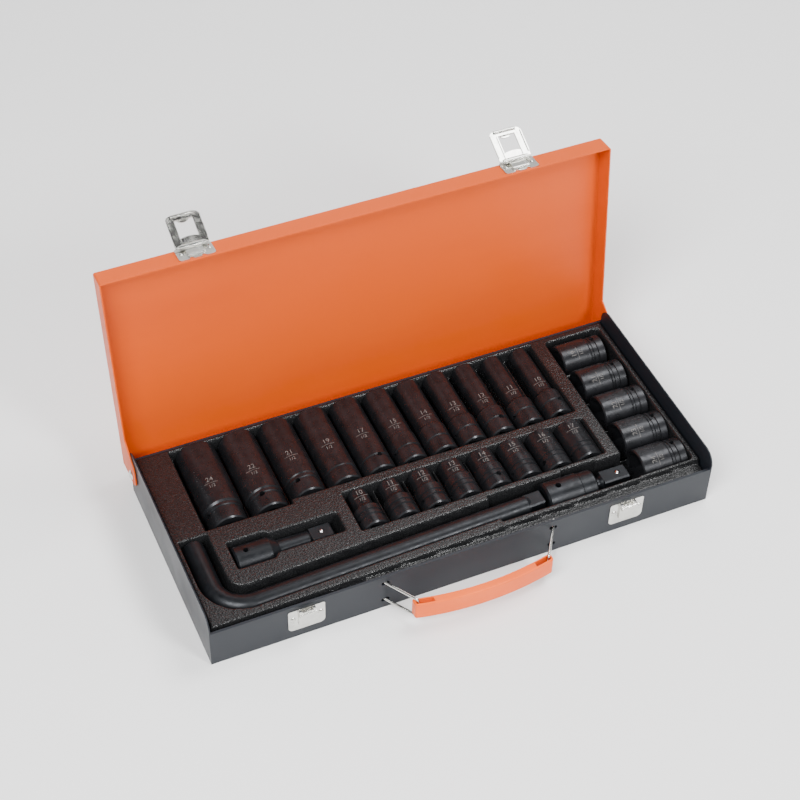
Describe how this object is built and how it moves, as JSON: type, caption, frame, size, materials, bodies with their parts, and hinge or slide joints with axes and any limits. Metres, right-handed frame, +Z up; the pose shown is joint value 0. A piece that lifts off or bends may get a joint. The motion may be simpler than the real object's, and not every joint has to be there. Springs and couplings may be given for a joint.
{
  "type": "socket wrench set in case",
  "caption": "Flat sheet-steel carry case with hinged lid, draw latches and folding handle, holding deep and short sockets and drive tools in a formed insert",
  "frame": {"origin": "centre of the tray underside", "axes": "+X along the width, +Y from the handle to the hinge, +Z up"},
  "size_m": [0.407, 0.2671, 0.2075],
  "materials": {
    "tray_paint": "satin dark blue-grey enamel",
    "lid_paint": "satin orange enamel",
    "insert_plastic": "fine-grained black formed sheet",
    "grip_plastic": "smooth orange",
    "bright_steel": "bright",
    "nickel_plate": "nickel plate",
    "black_phosphate": "black phosphate"
  },
  "bodies": {
    "case": {"tray_shell": "tray_paint", "insert_sheet": "insert_plastic", "insert_tub_large": "insert_plastic", "insert_tub_drive": "insert_plastic", "insert_tub_bar": "insert_plastic", "insert_tub_deep": "insert_plastic", "insert_tub_short": "insert_plastic", "insert_tub_extension": "insert_plastic", "hinge_rivets": "nickel_plate", "keeper_left": "nickel_plate", "keeper_right": "nickel_plate", "keeper_rivets": "nickel_plate"},
    "lid": {"lid_shell": "lid_paint", "latch_rivets": "nickel_plate", "latch_base_left": "nickel_plate", "latch_base_right": "nickel_plate", "latch_pin_left": "nickel_plate", "latch_pin_right": "nickel_plate"},
    "loop_left": {"latch_loop_left": "nickel_plate"},
    "loop_right": {"latch_loop_right": "nickel_plate"},
    "handle": {"handle_grip": "grip_plastic"},
    "wire_left": {"handle_wire_left": "nickel_plate"},
    "wire_right": {"handle_wire_right": "nickel_plate"},
    "extension": {"extension_bar": "black_phosphate", "extension_spring": "bright_steel"},
    "extension_detent": {"extension_ball": "bright_steel"},
    "bar": {"l_bar": "black_phosphate", "l_bar_spring": "bright_steel"},
    "bar_detent": {"l_bar_ball": "bright_steel"},
    "universal_joint": {"joint_body": "black_phosphate", "joint_collar": "black_phosphate"},
    "joint_pivot": {"joint_cross": "black_phosphate"},
    "joint_tang": {"joint_drive": "black_phosphate", "joint_spring": "bright_steel"},
    "joint_detent": {"joint_ball": "bright_steel"},
    "deep_24": {"deep_socket_24": "black_phosphate"},
    "deep_22": {"deep_socket_22": "black_phosphate"},
    "deep_21": {"deep_socket_21": "black_phosphate"},
    "deep_19": {"deep_socket_19": "black_phosphate"},
    "deep_17": {"deep_socket_17": "black_phosphate"},
    "deep_15": {"deep_socket_15": "black_phosphate"},
    "deep_14": {"deep_socket_14": "black_phosphate"},
    "deep_13": {"deep_socket_13": "black_phosphate"},
    "deep_12": {"deep_socket_12": "black_phosphate"},
    "deep_11": {"deep_socket_11": "black_phosphate"},
    "deep_10": {"deep_socket_10": "black_phosphate"},
    "short_10": {"short_socket_10": "black_phosphate"},
    "short_11": {"short_socket_11": "black_phosphate"},
    "short_12": {"short_socket_12": "black_phosphate"},
    "short_13": {"short_socket_13": "black_phosphate"},
    "short_14": {"short_socket_14": "black_phosphate"},
    "short_15": {"short_socket_15": "black_phosphate"},
    "short_16": {"short_socket_16": "black_phosphate"},
    "short_17": {"short_socket_17": "black_phosphate"},
    "large_19": {"large_socket_19": "black_phosphate"},
    "large_21": {"large_socket_21": "black_phosphate"},
    "large_22": {"large_socket_22": "black_phosphate"},
    "large_23": {"large_socket_23": "black_phosphate"},
    "large_24": {"large_socket_24": "black_phosphate"}
  },
  "joints": [
    {"name": "lid_hinge", "type": "hinge", "parent": "case", "child": "lid", "pos_m": [0, 0.08155, 0.025], "axis": [-1, 0, 0], "range_deg": [-96.7, 0]},
    {"name": "latch_left_swing", "type": "hinge", "parent": "lid", "child": "loop_left", "pos_m": [-0.128, 0.12326, 0.1958], "axis": [-1, 0, 0], "range_deg": [-148, 0]},
    {"name": "latch_right_swing", "type": "hinge", "parent": "lid", "child": "loop_right", "pos_m": [0.128, 0.12326, 0.1958], "axis": [-1, 0, 0], "range_deg": [-148, 0]},
    {"name": "handle_slide", "type": "slide", "parent": "case", "child": "handle", "axis": [0, -1, 0], "range_m": [-0.01101, 0]},
    {"name": "wire_left_swing", "type": "hinge", "parent": "case", "child": "wire_left", "pos_m": [-0.067, -0.08775, 0.017], "axis": [0, 0, 1], "range_deg": [0, 26.7]},
    {"name": "wire_right_swing", "type": "hinge", "parent": "case", "child": "wire_right", "pos_m": [0.067, -0.08775, 0.017], "axis": [0, 0, -1], "range_deg": [0, 26.7]},
    {"name": "deep_24_lift", "type": "slide", "parent": "case", "child": "deep_24", "axis": [0, 0, 1], "range_m": [0, 0.08]},
    {"name": "deep_22_lift", "type": "slide", "parent": "case", "child": "deep_22", "axis": [0, 0, 1], "range_m": [0, 0.08]},
    {"name": "deep_21_lift", "type": "slide", "parent": "case", "child": "deep_21", "axis": [0, 0, 1], "range_m": [0, 0.08]},
    {"name": "deep_19_lift", "type": "slide", "parent": "case", "child": "deep_19", "axis": [0, 0, 1], "range_m": [0, 0.08]},
    {"name": "deep_17_lift", "type": "slide", "parent": "case", "child": "deep_17", "axis": [0, 0, 1], "range_m": [0, 0.08]},
    {"name": "deep_15_lift", "type": "slide", "parent": "case", "child": "deep_15", "axis": [0, 0, 1], "range_m": [0, 0.08]},
    {"name": "deep_14_lift", "type": "slide", "parent": "case", "child": "deep_14", "axis": [0, 0, 1], "range_m": [0, 0.08]},
    {"name": "deep_13_lift", "type": "slide", "parent": "case", "child": "deep_13", "axis": [0, 0, 1], "range_m": [0, 0.08]},
    {"name": "deep_12_lift", "type": "slide", "parent": "case", "child": "deep_12", "axis": [0, 0, 1], "range_m": [0, 0.08]},
    {"name": "deep_11_lift", "type": "slide", "parent": "case", "child": "deep_11", "axis": [0, 0, 1], "range_m": [0, 0.08]},
    {"name": "deep_10_lift", "type": "slide", "parent": "case", "child": "deep_10", "axis": [0, 0, 1], "range_m": [0, 0.08]},
    {"name": "short_10_lift", "type": "slide", "parent": "case", "child": "short_10", "axis": [0, 0, 1], "range_m": [0, 0.08]},
    {"name": "short_11_lift", "type": "slide", "parent": "case", "child": "short_11", "axis": [0, 0, 1], "range_m": [0, 0.08]},
    {"name": "short_12_lift", "type": "slide", "parent": "case", "child": "short_12", "axis": [0, 0, 1], "range_m": [0, 0.08]},
    {"name": "short_13_lift", "type": "slide", "parent": "case", "child": "short_13", "axis": [0, 0, 1], "range_m": [0, 0.08]},
    {"name": "short_14_lift", "type": "slide", "parent": "case", "child": "short_14", "axis": [0, 0, 1], "range_m": [0, 0.08]},
    {"name": "short_15_lift", "type": "slide", "parent": "case", "child": "short_15", "axis": [0, 0, 1], "range_m": [0, 0.08]},
    {"name": "short_16_lift", "type": "slide", "parent": "case", "child": "short_16", "axis": [0, 0, 1], "range_m": [0, 0.08]},
    {"name": "short_17_lift", "type": "slide", "parent": "case", "child": "short_17", "axis": [0, 0, 1], "range_m": [0, 0.08]},
    {"name": "large_19_lift", "type": "slide", "parent": "case", "child": "large_19", "axis": [0, 0, 1], "range_m": [0, 0.08]},
    {"name": "large_21_lift", "type": "slide", "parent": "case", "child": "large_21", "axis": [0, 0, 1], "range_m": [0, 0.08]},
    {"name": "large_22_lift", "type": "slide", "parent": "case", "child": "large_22", "axis": [0, 0, 1], "range_m": [0, 0.08]},
    {"name": "large_23_lift", "type": "slide", "parent": "case", "child": "large_23", "axis": [0, 0, 1], "range_m": [0, 0.08]},
    {"name": "large_24_lift", "type": "slide", "parent": "case", "child": "large_24", "axis": [0, 0, 1], "range_m": [0, 0.08]},
    {"name": "extension_lift", "type": "slide", "parent": "case", "child": "extension", "axis": [0, 0, 1], "range_m": [0, 0.08]},
    {"name": "bar_lift", "type": "slide", "parent": "case", "child": "bar", "axis": [0, 0, 1], "range_m": [0, 0.08]},
    {"name": "universal_joint_lift", "type": "slide", "parent": "case", "child": "universal_joint", "axis": [0, 0, 1], "range_m": [0, 0.08]},
    {"name": "joint_swivel", "type": "hinge", "parent": "universal_joint", "child": "joint_pivot", "pos_m": [0.1085, -0.06085, 0.0245], "axis": [0, 0, 1], "range_deg": [-7, 7]},
    {"name": "joint_tilt", "type": "hinge", "parent": "joint_pivot", "child": "joint_tang", "pos_m": [0.1085, -0.06085, 0.0245], "axis": [0, -1, 0], "range_deg": [0, 28]},
    {"name": "extension_detent_press", "type": "slide", "parent": "extension", "child": "extension_detent", "axis": [0, 0, 1], "range_m": [-0.0007, 0], "stiffness_N_per_m": 300, "springref_m": 0.001},
    {"name": "bar_detent_press", "type": "slide", "parent": "bar", "child": "bar_detent", "axis": [0, 0, -1], "range_m": [-0.0007, 0], "stiffness_N_per_m": 300, "springref_m": 0.001},
    {"name": "joint_detent_press", "type": "slide", "parent": "joint_tang", "child": "joint_detent", "axis": [0, 0, 1], "range_m": [-0.0007, 0], "stiffness_N_per_m": 300, "springref_m": 0.001}
  ],
  "couplings": [
    {"joint": "wire_left_swing", "follows": "handle_slide", "rad_per_m": -42.254},
    {"joint": "wire_right_swing", "follows": "handle_slide", "rad_per_m": -42.254}
  ]
}
